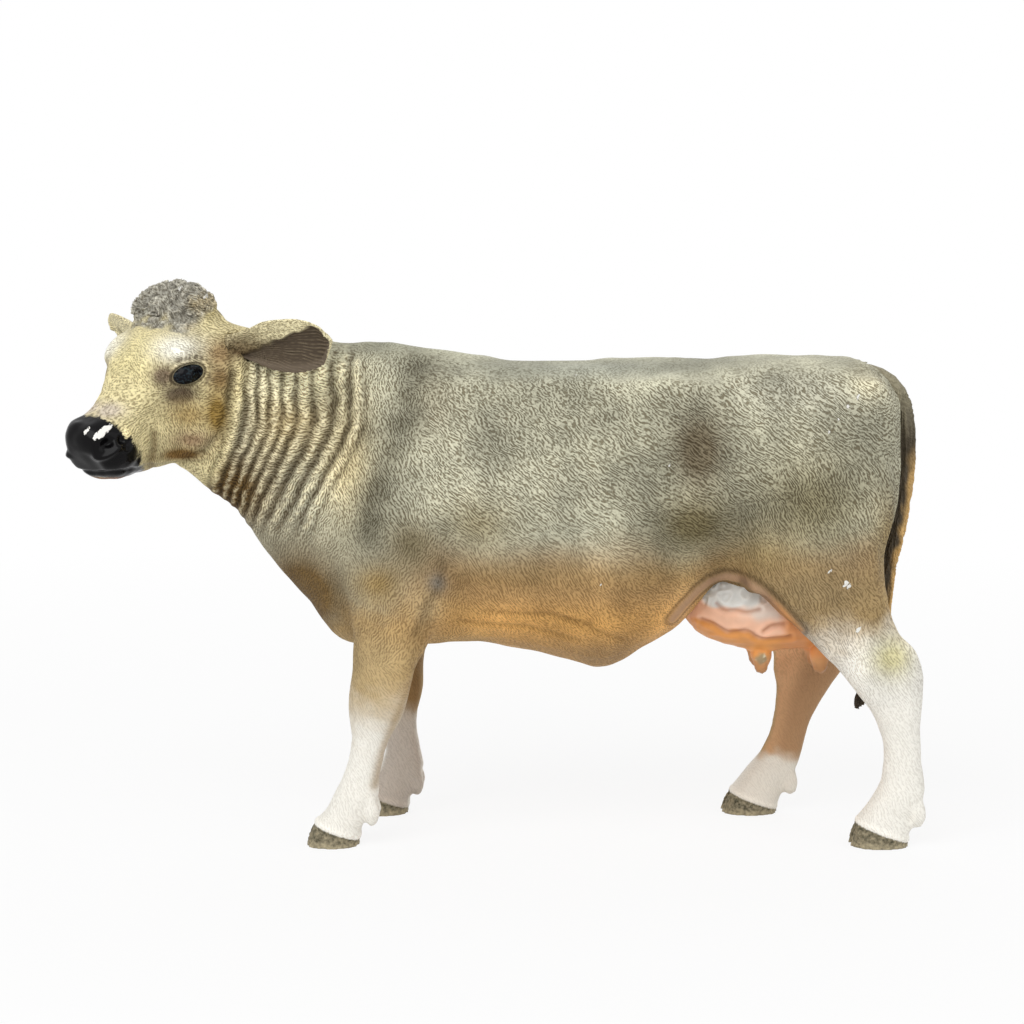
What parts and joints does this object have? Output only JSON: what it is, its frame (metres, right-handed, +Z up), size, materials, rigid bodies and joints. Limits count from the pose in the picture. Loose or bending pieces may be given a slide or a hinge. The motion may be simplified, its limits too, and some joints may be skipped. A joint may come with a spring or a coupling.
{
  "type": "toy farm animal figure",
  "caption": "Standing milk cow figure with its head turned to its left, moulded in halves with fitted head, ears, udder and tail.",
  "frame": {"origin": "centre of the bounding box's footprint, on the plane of the soles", "axes": "+X towards the rump (the cow faces -X), +Y towards the cow's right side, +Z up"},
  "size_m": [0.1308, 0.0432, 0.0868],
  "materials": {
    "painted_hide": "matt paint on vinyl over engraved fur, sprayed olive grey with tan and cream, a dark wash in the grooves",
    "painted_udder": "satin paint on vinyl, pink with a pale grey spray at the front",
    "hard_core": "bare moulded plastic, unseen"
  },
  "bodies": {
    "root": {"body_left_half": "painted_hide", "body_right_half": "painted_hide", "head": "painted_hide", "ear_left": "painted_hide", "ear_right": "painted_hide", "tail": "painted_hide", "udder": "painted_udder", "body_core": "hard_core"}
  },
  "joints": []
}
